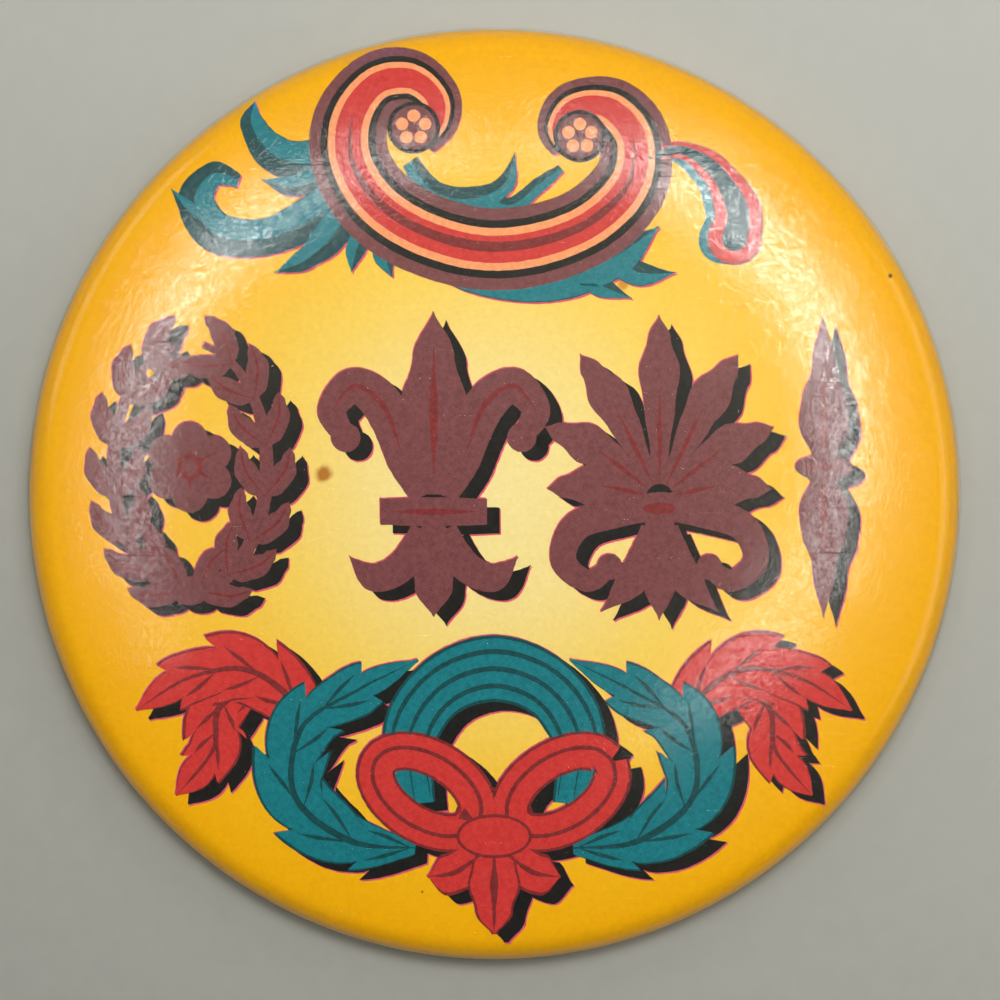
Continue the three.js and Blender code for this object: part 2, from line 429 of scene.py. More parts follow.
def groundMaterial():
    # litho-printed coated paper: a pale middle run out to orange through the halftone,
    # with a few rust blooms that have come up from the steel below
    material, tree = newMaterial("lithoPrintedPaper")
    place = addNode(tree, "ShaderNodeTexCoord").outputs["Object"]
    flat = addNode(tree, "ShaderNodeVectorMath", {0: place, 1: (1 / mm, 0, 1 / mm)},
                   operation="MULTIPLY")
    cloud = addNode(tree, "ShaderNodeTexNoise", {
        "Vector": place, "Scale": 1 / (printForm["cloud"] * mm), "Detail": 2.0})
    radius = addNode(tree, "ShaderNodeVectorMath", {0: flat.outputs[0]}, operation="LENGTH")
    uneven = addNode(tree, "ShaderNodeMath", {0: cloud.outputs["Fac"], 1: 2.4,
                                             2: radius.outputs["Value"]}, operation="MULTIPLY_ADD")
    reach = groundColours[-1][0]
    share = addNode(tree, "ShaderNodeMath", {0: uneven.outputs[0], 1: reach + 1.2},
                    operation="DIVIDE")
    ramp = addNode(tree, "ShaderNodeValToRGB", {"Fac": share.outputs[0]})
    stops = ramp.color_ramp.elements
    while len(stops) < len(groundColours):
        stops.new(0.5)
    for stop, (at, colour) in zip(stops, groundColours):
        stop.position = at / reach
        stop.color = linearColour(colour)
    grain = screenGrain(tree, place, 0.10)
    colour = addNode(tree, "ShaderNodeMixRGB", {"Fac": 0.55, "Color1": ramp.outputs["Color"],
                                               "Color2": grain}, blend_type="SOFT_LIGHT")
    colour = colour.outputs["Color"]
    rough = addNode(tree, "ShaderNodeTexNoise", {"Vector": place,
                                                "Scale": 1 / (printForm["stainEdge"] * mm)})
    for (x, z), size, stain in rustSpots:
        away = addNode(tree, "ShaderNodeVectorMath", {0: flat.outputs[0], 1: (x, 0, z)},
                       operation="DISTANCE")
        edge = addNode(tree, "ShaderNodeMath", {0: rough.outputs["Fac"], 1: size * 0.7,
                                               2: away.outputs["Value"]}, operation="MULTIPLY_ADD")
        mask = addNode(tree, "ShaderNodeMapRange", {0: edge.outputs[0], 1: size * 0.75,
                                                   2: size * 1.45, 3: 0.92, 4: 0.0},
                       interpolation_type="SMOOTHSTEP")
        colour = addNode(tree, "ShaderNodeMixRGB", {"Fac": mask.outputs[0], "Color1": colour,
                                                   "Color2": stain}).outputs["Color"]
    paper = addNode(tree, "ShaderNodeBsdfPrincipled", {"Base Color": colour, "Roughness": 0.32,
                                                      "Specular IOR Level": 0.3})
    finishMaterial(tree, paper.outputs[0])
    return material


def inkMaterial(name, colour, grainStrength):
    # offset litho ink: a flat colour broken by its halftone, a little darker and lighter
    material, tree = newMaterial(name)
    place = addNode(tree, "ShaderNodeTexCoord").outputs["Object"]
    grain = screenGrain(tree, place, grainStrength)
    mixed = addNode(tree, "ShaderNodeMixRGB", {"Fac": 0.8, "Color1": colour, "Color2": grain},
                    blend_type="SOFT_LIGHT")
    ink = addNode(tree, "ShaderNodeBsdfPrincipled", {
        "Base Color": mixed.outputs["Color"], "Roughness": 0.32, "Specular IOR Level": 0.3})
    finishMaterial(tree, ink.outputs[0])
    return material


inks = {
    "magenta": inkMaterial("lithoInkMagenta", "#cf5577", 0.2),
    "black": inkMaterial("lithoInkBlack", "#1f2023", 0.25),
    "plum": inkMaterial("lithoInkPlum", "#73444e", 0.2),
    "teal": inkMaterial("lithoInkTeal", "#1b778d", 0.2),
    "darkTeal": inkMaterial("lithoInkDarkTeal", "#1c4a56", 0.25),
    "red": inkMaterial("lithoInkRed", "#c63a3d", 0.2),
    "darkRed": inkMaterial("lithoInkDarkRed", "#7a2f36", 0.25),
    "salmon": inkMaterial("lithoInkSalmon", "#eb9c72", 0.2),
}


# Layers of the face, set in from the outer skin, in millimetres.
layers = {
    "film": (0.0, 0.08, 1.3),
    "paper": (0.14, 0.26, 1.2),
    "shell": (0.28, 0.53, 1.1),
    "inkStep": 0.0035,
    "gridStep": 1.0,          # inks are cut into squares so that they follow the dome
}


def markUnderside(piece, layer):
    # gives the second material to the faces nearer to the layer's inner skin line
    outer, inner, tuck = layers[layer]
    lines = [[Vector(p) for p in skinLine(inset, tuck)] for inset in (outer, inner)]
    known = {}
    for face in piece.data.polygons:
        spot = Vector((math.hypot(face.center.x, face.center.z) / mm, face.center.y / mm))
        key = (round(spot.x, 3), round(spot.y, 3))
        if key not in known:
            near = [min((spot - p).length for p in line) for line in lines]
            known[key] = int(near[1] < near[0])
        face.material_index = known[key]


# Film that is drawn round a rim has too much edge for it, and gathers into pleats.
pleatForm = {"start": 1.5, "spacing": 2.1, "depth": 0.05}


def pleat(piece):
    # presses creases into the skin, deeper towards its tucked edge
    curlCentre = skinForm["radius"] - skinForm["curlRadius"]
    tuckCentre = curlCentre - skinForm["backFlat"]
    for v in piece.data.vertices:
        y = v.co.y / mm
        share = min(1, max(0, 1 + y / pleatForm["start"]))
        if share > 0:
            radius = math.hypot(v.co.x, v.co.z) / mm
            middle = min(max(radius, tuckCentre), curlCentre)
            out = Vector((v.co.x, 0, v.co.z)).normalized()
            inward = out * (middle - radius) + Vector((0, -skinForm["curlRadius"] - y, 0))
            ring = out * skinForm["radius"] / pleatForm["spacing"]
            fold = noise.noise(ring) * 1.6 + noise.noise(ring * 2.7) * 0.8
            depth = pleatForm["depth"] * share * min(1, max(0, 0.35 + fold))
            v.co += inward.normalized() * depth * mm


def makeSkin(name, material, node, steps=None):
    outer, inner, tuck = layers[name]
    outline = skinLine(outer, tuck) + skinLine(inner, tuck)[::-1]
    piece = revolve(name, outline, material, steps=steps)
    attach(piece, "badge")
    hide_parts(node)
    return piece


filmPiece = makeSkin("film", filmMaterial(), "clear_film", skinForm["pleatSteps"])
filmPiece.data.materials.append(filmInsideMaterial())
markUnderside(filmPiece, "film")
pleat(filmPiece)
paperPiece = makeSkin("paper", groundMaterial(), "print_disc")
print("film and paper made")


# The printed ornament: plane outlines in millimetres, x to the right and z up.
def smoothLine(points, steps=14):
    # a curve through all the points, with its ends left straight
    ends = [points[0]] + list(points) + [points[-1]]
    line = []
    for i in range(len(points) - 1):
        a, b, c, d = (Vector(p) for p in ends[i:i + 4])
        for k in range(steps):
            t = k / steps
            line.append(0.5 * ((2 * b) + (c - a) * t + (2 * a - 5 * b + 4 * c - d) * t ** 2
                               + (3 * b - a - 3 * c + d) * t ** 3))
    line.append(Vector(points[-1]))
    return line


def widthAt(widths, t):
    # widths are evenly spread along the line and joined smoothly
    place = t * (len(widths) - 1)
    i = min(int(place), len(widths) - 2)
    share = place - i
    share = share * share * (3 - 2 * share)
    return widths[i] + (widths[i + 1] - widths[i]) * share


def withoutLoops(outline, reach=60):
    # cuts off the small loops that a tight bend leaves along the sides of a band
    line = list(outline)
    i = 0
    while i < len(line) - 3:
        for j in range(min(i + reach, len(line) - 2), i + 1, -1):
            spot = geometry.intersect_line_line_2d(line[i], line[i + 1], line[j], line[j + 1])
            if spot:
                line[i + 1:j + 1] = [spot]
                break
        i += 1
    return line


def ribbon(points, widths, aside=0.0):
    # a band along a line, moved aside by a share of its half width
    line = smoothLine(points)
    last = len(line) - 1
    left, right = [], []
    for i, p in enumerate(line):
        ahead = line[min(i + 1, last)] - line[max(i - 1, 0)]
        across = Vector((-ahead.y, ahead.x)).normalized()
        half = widthAt(widths, i / last) / 2
        left.append(p + across * half * (aside + 1))
        right.append(p + across * half * (aside - 1))
    return withoutLoops(left + right[::-1])


def oval(centre, size, steps=40):
    turns = [2 * math.pi * i / steps for i in range(steps)]
    return [Vector((centre[0] + size[0] / 2 * math.cos(a), centre[1] + size[1] / 2 * math.sin(a)))
            for a in turns]


def ring(centre, size, tiltDegrees, width):
    # a closed band round a tilted oval
    tilt = Matrix.Rotation(math.radians(tiltDegrees), 2)
    line = [tilt @ p + Vector(centre) for p in oval((0, 0), size, 12)]
    return ribbon(line + line[:1], [width, width])


def shifted(outline, right, up):
    return [p + Vector((right, up)) for p in outline]


def turned(points, sideways):
    # the same points, mirrored about the upright middle line where sideways is -1
    return [(sideways * x, z) for x, z in points]


def placed(points, centre, sideways=1, upwards=1):
    # a motif's own points, flipped where asked and moved to its centre
    return [(centre[0] + sideways * x, centre[1] + upwards * z) for x, z in points]


def scaled(widths, share):
    return [w * share for w in widths]


leafForm = {"widths": (0.3, 0.95, 1.0, 0.72, 0.04), "notch": 0.42, "lean": 0.5, "contour": 0.34}
shadowShift = {"right": 0.72, "up": -0.5, "slip": (0.08, -0.09)}
prints = {name: [] for name in inks}


def acanthus(points, width, lobes):
    # a leaf whose lobes swell and lean forward, each with a notch behind its tip
    line = smoothLine(points, 18)
    last = len(line) - 1
    left, right = [], []
    for i, p in enumerate(line):
        t = i / last
        ahead = (line[min(i + 1, last)] - line[max(i - 1, 0)]).normalized()
        across = Vector((-ahead.y, ahead.x))
        body = widthAt(leafForm["widths"], t) * width / 2
        lobe = (t * lobes) % 1 if i < last else 0
        swell = 1 - leafForm["notch"] + leafForm["notch"] * math.sin(lobe * math.pi / 2) ** 0.7
        push = ahead * body * leafForm["lean"] * lobe
        left.append(p + across * body * swell + push)
        right.append(p - across * body * swell + push)
    return withoutLoops(left + right[::-1])


def stamp(ink, outline, level):
    prints[ink].append((outline, level))


def stampShaded(ink, outline, level=3):
    # a shape, its drop shadow, and the pink of a plate that has slipped on the press
    dark = shifted(outline, shadowShift["right"], shadowShift["up"])
    stamp("black", dark, 2)
    stamp("magenta", shifted(dark, *shadowShift["slip"]), 1)
    stamp("magenta", shifted(outline, -0.05, 0.07), 1)
    stamp(ink, outline, level)


def stampVeins(ink, points, width, lobes, level):
    # a midrib, and a rib that runs out to each lobe's tip
    stamp(ink, ribbon(points, [0.1, 0.4, 0.34, 0.2, 0.02]), level)
    line = smoothLine(points, 18)
    last = len(line) - 1
    for lobe in range(lobes - 1):
        root = line[round(last * (lobe + 0.15) / lobes)]
        i = round(last * (lobe + 0.8) / lobes)
        ahead = (line[i + 1] - line[i - 1]).normalized()
        across = Vector((-ahead.y, ahead.x))
        reach = widthAt(leafForm["widths"], i / last) * width / 2
        for sideways in (-0.62, 0.62):
            tip = line[i] + across * reach * sideways + ahead * reach * 0.3
            bow = root.lerp(tip, 0.55) + ahead * reach * 0.08 + across * sideways * reach * 0.12
            stamp(ink, ribbon([root, bow, tip], [0.04, 0.24, 0.03]), level)


def stampLeaf(ink, veinInk, points, width, lobes=4, shaded=True, level=3):
    leaf = acanthus(points, width, lobes)
    contour = acanthus(points, width + leafForm["contour"], lobes)
    if shaded:
        stampShaded(veinInk, contour, level)
    else:
        stamp("magenta", shifted(contour, 0.08, -0.09), 1)
        stamp(veinInk, contour, level)
    stamp(ink, leaf, level + 1)
    stampVeins(veinInk, points, width, lobes, level + 2)


def stampTendril(points, widths, level):
    # a curled frond, light along one side and dark along the other
    stamp("magenta", shifted(ribbon(points, widths), 0.09, -0.1), 1)
    stamp("darkTeal", ribbon(points, widths), level)
    stamp("teal", ribbon(points, scaled(widths, 0.52), aside=-0.8), level + 1)


def topOrnament():
    # a swag between two volutes, with fronds at one end and a drop at the other
    swag = [(-4.3, 20.6), (-3.4, 21.7), (-3.5, 23.2), (-4.9, 24.3), (-6.9, 24.0), (-8.3, 22.1),
            (-8.4, 19.6), (-7.0, 17.1), (-4.4, 15.3), (-1.0, 14.3), (2.4, 14.5), (5.7, 15.8),
            (7.9, 18.1), (8.2, 20.7), (6.8, 22.5), (4.8, 22.6), (3.8, 21.3), (4.3, 20.2)]
    spread = (0.42, 0.62, 0.78, 0.95, 1.0, 1.0, 0.96, 0.85, 0.66, 0.4)
    bands = [("plum", 4.8), ("black", 3.4), ("salmon", 2.5), ("red", 1.6)]
    fronds = [
        ([(-8.0, 20.4), (-10.6, 19.4), (-12.8, 19.9), (-14.1, 21.6), (-14.0, 23.0)],
         (3.4, 2.6, 2.2, 1.5, 0.1)),
        ([(-9.6, 18.7), (-11.7, 18.0), (-13.6, 18.4)], (1.8, 1.3, 0.05)),
        ([(-8.2, 18.0), (-10.6, 16.2), (-13.4, 15.0), (-16.2, 15.3), (-17.4, 17.2), (-16.4, 18.7),
          (-14.9, 18.3)], (2.6, 2.5, 2.2, 2.4, 2.2, 1.5, 0.8)),
        ([(-16.8, 15.9), (-17.8, 16.6), (-18.9, 17.9)], (1.6, 1.0, 0.05)),
        ([(-8.0, 17.4), (-9.6, 15.0), (-11.0, 13.7), (-12.8, 12.9)], (2.6, 2.0, 1.3, 0.05)),
        ([(-7.0, 16.4), (-8.0, 14.4), (-8.3, 12.9)], (1.8, 1.2, 0.05)),
        ([(-6.0, 15.8), (-6.4, 14.0), (-5.9, 12.6)], (1.9, 1.3, 0.05)),
        ([(-5.6, 15.4), (-1.4, 12.7), (3.4, 12.3), (7.0, 13.7), (9.6, 15.6)],
         (1.2, 1.9, 2.2, 2.3, 0.1)),
        ([(5.6, 14.6), (8.2, 12.9), (10.6, 12.9)], (1.8, 1.5, 0.05)),
        ([(4.0, 13.8), (6.0, 12.2), (8.0, 11.4)], (1.8, 1.3, 0.05)),
        ([(-4.9, 19.4), (-3.6, 17.6), (-1.4, 17.1), (0.6, 18.0), (1.2, 19.9)],
         (1.0, 1.5, 1.6, 1.1, 0.05)),
        ([(-0.6, 17.3), (1.0, 16.8), (2.6, 18.0), (3.9, 19.0)], (1.2, 1.0, 0.9, 0.5)),
    ]
    for points, widths in fronds:
        stampTendril(points, widths, 3)
    stamp("magenta", shifted(ribbon(swag, scaled(spread, 4.5)), 0.1, -0.12), 5)
    for level, (ink, width) in enumerate(bands):
        stamp(ink, ribbon(swag, scaled(spread, width)), 6 + level)
    stamp("darkRed", ribbon(swag[5:14], (0.1, 0.5, 0.6, 0.5, 0.1), aside=0.5), 11)
    for centre in ((-4.7, 21.4), (5.0, 20.9)):
        stamp("black", oval(centre, (3.1, 3.1)), 11)
        stamp("plum", oval(centre, (2.6, 2.6)), 12)
        for k in range(5):
            angle = math.radians(90 + 72 * k)
            petal = (centre[0] + 0.7 * math.cos(angle), centre[1] + 0.7 * math.sin(angle))
            stamp("salmon", oval(petal, (0.75, 0.75), 16), 13)
    drop = [(8.9, 19.6), (10.9, 20.1), (12.9, 18.9), (14.2, 16.6), (14.0, 14.9)]
    swell = (0.5, 1.0, 1.7, 2.6, 3.0)
    stamp("teal", shifted(ribbon(drop, swell), -0.6, -0.1), 3)
    stamp("teal", oval((13.4, 14.8), (3.0, 2.8)), 3)
    for level, (ink, share) in enumerate((("plum", 1.08), ("red", 1.0), ("darkTeal", 0.5))):
        stamp(ink, ribbon(drop, scaled(swell, share)), 4 + 2 * level)
        stamp(ink, oval((14.0, 14.9), (3.0 * share, 2.9 * share)), 5 + 2 * level)


wreathForm = {"reach": (4.5, 7.2), "leavesPerSide": 7, "leafLength": 2.9, "leafSpread": 1.45}


def wreathPoint(centre, sideways, share):
    # a point on one side of the wreath's oval, from its tie up to its open top
    angle = math.radians(-84 + 164 * share)
    right, up = wreathForm["reach"]
    return Vector((centre[0] + sideways * right * math.cos(angle), centre[1] + up * math.sin(angle)))


def wreath(centre):
    # an oval of laurel, tied below and open above, about a six-petalled rosette
    count = wreathForm["leavesPerSide"]
    for sideways in (-1, 1):
        stem = [wreathPoint(centre, sideways, k / 12) for k in range(13)]
        stampShaded("plum", ribbon(stem, [0.9, 0.8, 0.4]))
        for k in range(count):
            root = wreathPoint(centre, sideways, k / count)
            ahead = (wreathPoint(centre, sideways, (k + 1) / count) - root).normalized()
            across = Vector((-ahead.y, ahead.x))
            for side in (-1, 1):
                tip = root + ahead * wreathForm["leafLength"] + across * side * wreathForm["leafSpread"]
                bow = root + ahead * 1.5 + across * side * 1.15
                leaf = [root, bow, tip]
                stampShaded("plum", ribbon(leaf, [0.3, 1.3, 1.35, 0.75, 0.02]), 4 + k % 2)
                stamp("darkRed", ribbon(leaf, [0.05, 0.16, 0.02]), 6)
    tie = (centre[0], centre[1] - wreathForm["reach"][1])
    stampShaded("plum", oval(tie, (2.2, 1.7)), 7)
    for k in range(6):
        angle = math.radians(30 + 60 * k)
        middle = (centre[0] + 1.6 * math.cos(angle), centre[1] + 1.6 * math.sin(angle))
        stampShaded("plum", oval(middle, (2.1, 2.1)), 8)
        stamp("darkRed", ribbon([centre, middle], [0.3, 0.05]), 9)
    stamp("darkRed", oval(centre, (1.5, 1.5)), 9)
    stamp("plum", oval(centre, (0.9, 0.9)), 10)


def lily(centre):
    # an upright petal between two that curl over, bound above a three-part foot
    stampShaded("plum", ribbon(placed([(0, -1.6), (0, 1.6), (0, 5.4), (0, 9.0)], centre),
                               [1.2, 3.4, 4.0, 2.4, 0.05]), 5)
    stamp("darkRed", ribbon(placed([(0, -0.4), (0, 3.0), (0, 7.0)], centre), [0.05, 0.5, 0.03]), 6)
    for sideways in (-1, 1):
        petal = placed([(0.9, -1.8), (1.8, 0.6), (2.9, 3.5), (4.6, 4.7), (5.9, 3.3), (5.1, 1.7)],
                       centre, sideways)
        stampShaded("plum", ribbon(petal, [1.0, 2.0, 2.4, 2.1, 1.7, 1.2]), 3)
        stampShaded("plum", oval(petal[-1], (1.7, 1.7)), 4)
        stamp("darkRed", ribbon(petal[1:-1], [0.03, 0.3, 0.25, 0.03]), 5)
        foot = placed([(0.7, -3.6), (1.7, -5.6), (3.4, -6.4), (4.9, -5.2)], centre, sideways)
        stampShaded("plum", ribbon(foot, [1.3, 1.8, 1.7, 0.05]), 3)
    stampShaded("plum", ribbon(placed([(0, -3.2), (0, -6.0), (0, -8.7)], centre),
                               [1.2, 2.5, 2.2, 0.05]), 5)
    stampShaded("plum", ribbon(placed([(-3.1, -2.6), (3.1, -2.6)], centre), [1.5, 1.7, 1.5]), 7)
    stamp("darkRed", ribbon(placed([(-2.5, -2.6), (2.5, -2.6)], centre), [0.05, 0.35, 0.05]), 8)


def palmette(centre):
    # a fan of seven petals on a pair of scrolls
    for turnDegrees, reach in ((-78, 5.8), (78, 5.8), (-52, 7.6), (52, 7.6), (-26, 9.6), (26, 9.6),
                               (0, 10.6)):
        turn = math.radians(turnDegrees)
        way = Vector((math.sin(turn), math.cos(turn)))
        root = Vector((centre[0], centre[1] - 1.8))
        droop = Vector((0.9 * math.sin(turn), -0.7 * abs(math.sin(turn))))
        line = [root + way * 0.8, root + way * reach * 0.6, root + way * reach + droop]
        stampShaded("plum", ribbon(line, [0.7, 1.1, 1.8, 2.4, 1.3, 0.02]), 4)
        stamp("darkRed", ribbon(line[:2], [0.03, 0.26, 0.03]), 6)
    for sideways in (-1, 1):
        scroll = placed([(0.6, -2.4), (2.8, -2.7), (4.9, -3.5), (5.6, -5.4), (4.2, -6.6),
                         (2.9, -5.8)], centre, sideways)
        stampShaded("plum", ribbon(scroll, [1.5, 1.8, 1.7, 1.5, 1.3, 1.1]), 5)
        stampShaded("plum", oval(scroll[-1], (1.5, 1.5)), 6)
        foot = placed([(0.4, -3.6), (1.5, -6.4), (3.4, -8.4)], centre, sideways)
        stampShaded("plum", ribbon(foot, [1.4, 1.9, 0.1]), 3)
    stampShaded("plum", ribbon(placed([(0, -3.0), (0, -5.6), (0, -8.9)], centre),
                               [1.6, 2.3, 1.9, 0.05]), 6)
    stampShaded("plum", oval((centre[0], centre[1] - 2.4), (3.4, 1.9)), 7)
    stamp("darkRed", oval((centre[0], centre[1] - 2.4), (1.9, 0.7)), 8)


def spindle(centre):
    # a turned finial, drawn out to a point both ways from its collar
    for upwards in (-1, 1):
        shaft = placed([(0, 0.5), (0, 3.2), (0, 5.2), (0, 8.8)], centre, 1, upwards)
        stampShaded("plum", ribbon(shaft, [1.2, 2.9, 2.5, 1.3, 0.05]), 3)
        stamp("darkRed", ribbon(shaft[:3], [0.03, 0.4, 0.3, 0.03]), 4)
    stampShaded("plum", oval(centre, (3.4, 1.5)), 5)
    stamp("darkRed", oval(centre, (2.2, 0.4)), 6)


def middleOrnament():
    height = 1.6
    wreath(Vector((-17.7, height)))
    lily((-3.5, height))
    palmette((9.6, height))
    spindle((19.2, height))


def bottomOrnament():
    # mirrored leaves about an arch and a knot of two loops
    redLeaf = [(-10.6, -15.4), (-11.6, -12.2), (-14.4, -10.2), (-17.8, -10.7), (-20.9, -12.6)]
    redCurl = [(-13.4, -10.8), (-16.0, -12.4), (-16.4, -14.9), (-18.6, -17.6)]
    tealLeaf = [(-4.6, -20.6), (-8.4, -20.2), (-11.6, -17.6), (-11.2, -13.6), (-8.0, -11.4),
                (-4.4, -9.6)]
    arch = [(-4.6, -18.0), (-4.9, -14.0), (-3.1, -11.2), (0.0, -10.1), (3.1, -11.2), (4.9, -14.0),
            (4.6, -18.0)]
    archMiddle = Vector((0, -15.5))
    for sideways in (-1, 1):
        stampLeaf("red", "darkRed", turned(redCurl, sideways), 3.6, 4, level=3)
        stampLeaf("red", "darkRed", turned(redLeaf, sideways), 4.2, 5, level=5)
        stampLeaf("teal", "darkTeal", turned(tealLeaf, sideways), 4.3, 6, level=8)
    stampShaded("darkTeal", ribbon(arch, [2.4, 3.5, 3.9, 3.5, 2.4]), 10)
    stamp("teal", ribbon(arch, [2.1, 3.15, 3.5, 3.15, 2.1]), 11)
    for aside in (-1.0, 0.0, 1.0):
        groove = [p + (p - archMiddle).normalized() * aside for p in smoothLine(arch)[::14]]
        stamp("darkTeal", ribbon(groove, [0.05, 0.26, 0.3, 0.26, 0.05]), 12)
    for sideways in (-1, 1):
        loop = (3.9 * sideways, -17.3)
        tilt = 32 * sideways
        stampShaded("darkRed", ring(loop, (6.6, 3.9), tilt, 2.3), 12)
        stamp("red", ring(loop, (6.6, 3.9), tilt, 1.95), 13)
        stamp("darkRed", ring(loop, (7.0, 4.3), tilt, 0.24), 14)
        tassel = turned([(0.3, -20.6), (2.2, -22.0), (3.9, -22.3)], sideways)
        stampShaded("darkRed", ribbon(tassel, [1.4, 2.4, 2.5, 0.1]), 12)
        stamp("red", ribbon(tassel, [1.1, 2.1, 2.1, 0.05]), 13)
        stamp("darkRed", ribbon(tassel, [0.05, 0.3, 0.03]), 14)
    stamp("darkRed", oval((0, -18.8), (4.6, 3.6)), 12)
    drop = [(0, -20.6), (0, -22.8), (0, -25.7)]
    stampShaded("darkRed", ribbon(drop, [1.4, 2.6, 3.1, 2.2, 0.3]), 13)
    stamp("red", ribbon(drop, [1.1, 2.3, 2.8, 1.9, 0.05]), 14)
    stamp("darkRed", ribbon(drop, [0.05, 0.2, 0.5, 0.2, 0.03]), 15)
    stampShaded("darkRed", oval((0, -19.9), (4.4, 2.6)), 15)
    stamp("red", oval((0, -19.9), (4.05, 2.25)), 16)


def inkMesh(outline, level, name):
    # a plane outline, filled, cut into squares and laid on the dome
    curve = bpy.data.curves.new(name, "CURVE")
    curve.dimensions = "2D"
    curve.fill_mode = "BOTH"
    spline = curve.splines.new("POLY")
    ragged = []
    for p in outline:
        slip = noise.noise_vector(Vector((p.x * 5, p.y * 5, 0.5))) * 0.03
        ragged.append(Vector((p.x + slip.x, p.y + slip.y)))
    ragged = withoutLoops(ragged)        # an outline that crosses itself isn't filled
    spline.points.add(len(ragged) - 1)
    for corner, p in zip(spline.points, ragged):
        corner.co = (p.x * mm, p.y * mm, 0, 1)
    spline.use_cyclic_u = True
    shape = bpy.data.objects.new(name, curve)
    mesh = bpy.data.meshes.new_from_object(shape)
    bm = bmesh.new()
    bm.from_mesh(mesh)
    bpy.data.objects.remove(shape)
    bpy.data.curves.remove(curve)
    bpy.data.meshes.remove(mesh)
    bmesh.ops.remove_doubles(bm, verts=bm.verts[:], dist=1e-6)
    step = layers["gridStep"]
    for axis in (0, 1):
        places = [v.co[axis] / mm for v in bm.verts]
        normal = (1, 0, 0) if axis == 0 else (0, 1, 0)
        for k in range(math.ceil(min(places) / step), math.floor(max(places) / step) + 1):
            spot = [0, 0, 0]
            spot[axis] = k * step * mm
            bmesh.ops.bisect_plane(bm, geom=bm.verts[:] + bm.edges[:] + bm.faces[:],
                                   plane_co=spot, plane_no=normal)
    inset = layers["paper"][0] - layers["inkStep"] * level
    for v in bm.verts:
        x, z = v.co.x, v.co.y
        v.co = (x, crownY(math.hypot(x, z) / mm, inset) * mm, z)
    for face in bm.faces:
        if face.normal.y > 0:
            face.normal_flip()
    return bm


def makeInks():
    topOrnament()
    middleOrnament()
    bottomOrnament()
    for ink, shapes in prints.items():
        whole = bmesh.new()
        for outline, level in shapes:
            part = inkMesh(outline, level, ink)
            for face in part.faces:
                face.normal_update()
            sheet = bpy.data.meshes.new(ink)
            part.to_mesh(sheet)
            part.free()
            whole.from_mesh(sheet)
            bpy.data.meshes.remove(sheet)
        for face in whole.faces:
            face.normal_update()
            if face.normal.y > 0:
                face.normal_flip()
        piece = meshObject("ink_" + ink, whole, inks[ink])
        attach(piece, "badge")


makeInks()
print("print laid on:", {name: len(shapes) for name, shapes in prints.items()})


tinForm = {
    "rollingLine": 0.25,      # drawn coarser than real rolling lines, so that they show
    "lineLength": 17.0,
    "smudge": 7.0,
    "freckle": 1.1,
}


def sheetMetal(name, colour, streak, roughRange):
    # bright tinplate: cold-rolled steel under tin, so mirror-like but greyed by its
    # rolling lines, handling marks and a few freckles of rust
    material, tree = newMaterial(name)
    place = addNode(tree, "ShaderNodeTexCoord").outputs["Object"]
    linesPerMetre = 1 / (tinForm["rollingLine"] * mm)
    drawn = addNode(tree, "ShaderNodeMapping", {
        "Vector": place, "Scale": (1 / (tinForm["lineLength"] * mm), linesPerMetre, linesPerMetre)})
    lines = addNode(tree, "ShaderNodeTexNoise", {"Vector": drawn.outputs[0], "Scale": 1.0,
                                                "Detail": 4.0, "Roughness": 0.7})
    smudge = addNode(tree, "ShaderNodeTexNoise", {
        "Vector": place, "Scale": 1 / (tinForm["smudge"] * mm), "Detail": 6.0, "Roughness": 0.6})
    tone = addNode(tree, "ShaderNodeMapRange", {0: smudge.outputs["Fac"], 1: 0.3, 2: 0.7,
                                               3: 0.0, 4: 1.0})
    metal = addNode(tree, "ShaderNodeMixRGB", {"Fac": tone.outputs[0], "Color1": colour,
                                              "Color2": "#bebbb2"})
    freckle = addNode(tree, "ShaderNodeTexNoise", {
        "Vector": place, "Scale": 1 / (tinForm["freckle"] * mm), "Detail": 5.0})
    rust = addNode(tree, "ShaderNodeMapRange", {0: freckle.outputs["Fac"], 1: 0.70, 2: 0.76,
                                               3: 0.0, 4: 0.85})
    stained = addNode(tree, "ShaderNodeMixRGB", {"Fac": rust.outputs[0],
                                                "Color1": metal.outputs["Color"],
                                                "Color2": "#5f4027"})
    shine = addNode(tree, "ShaderNodeMath", {0: lines.outputs["Fac"], 1: streak,
                                            2: smudge.outputs["Fac"]}, operation="MULTIPLY_ADD")
    rough = addNode(tree, "ShaderNodeMapRange", {0: shine.outputs[0], 1: 0.45, 2: 1.1,
                                                3: roughRange[0], 4: roughRange[1]})
    bump = addNode(tree, "ShaderNodeBump", {"Height": lines.outputs["Fac"], "Strength": 0.25,
                                           "Distance": 0.00001})
    bare = addNode(tree, "ShaderNodeMath", {0: 1.0, 1: rust.outputs[0]}, operation="SUBTRACT")
    skin = addNode(tree, "ShaderNodeBsdfPrincipled", {
        "Base Color": stained.outputs["Color"], "Metallic": bare.outputs[0],
        "Roughness": rough.outputs[0], "Normal": bump.outputs[0]})
    finishMaterial(tree, skin.outputs[0])
    return material


tinBack = sheetMetal("rolledTinplate", "#cfccc2", 0.8, (0.18, 0.38))
tinShell = sheetMetal("drawnTinplate", "#c4c1b8", 0.3, (0.25, 0.5))
nickelWire = sheetMetal("nickelPlatedWire", "#d3cfc4", 0.4, (0.12, 0.32))

shellPiece = makeSkin("shell", tinShell, "front_shell")


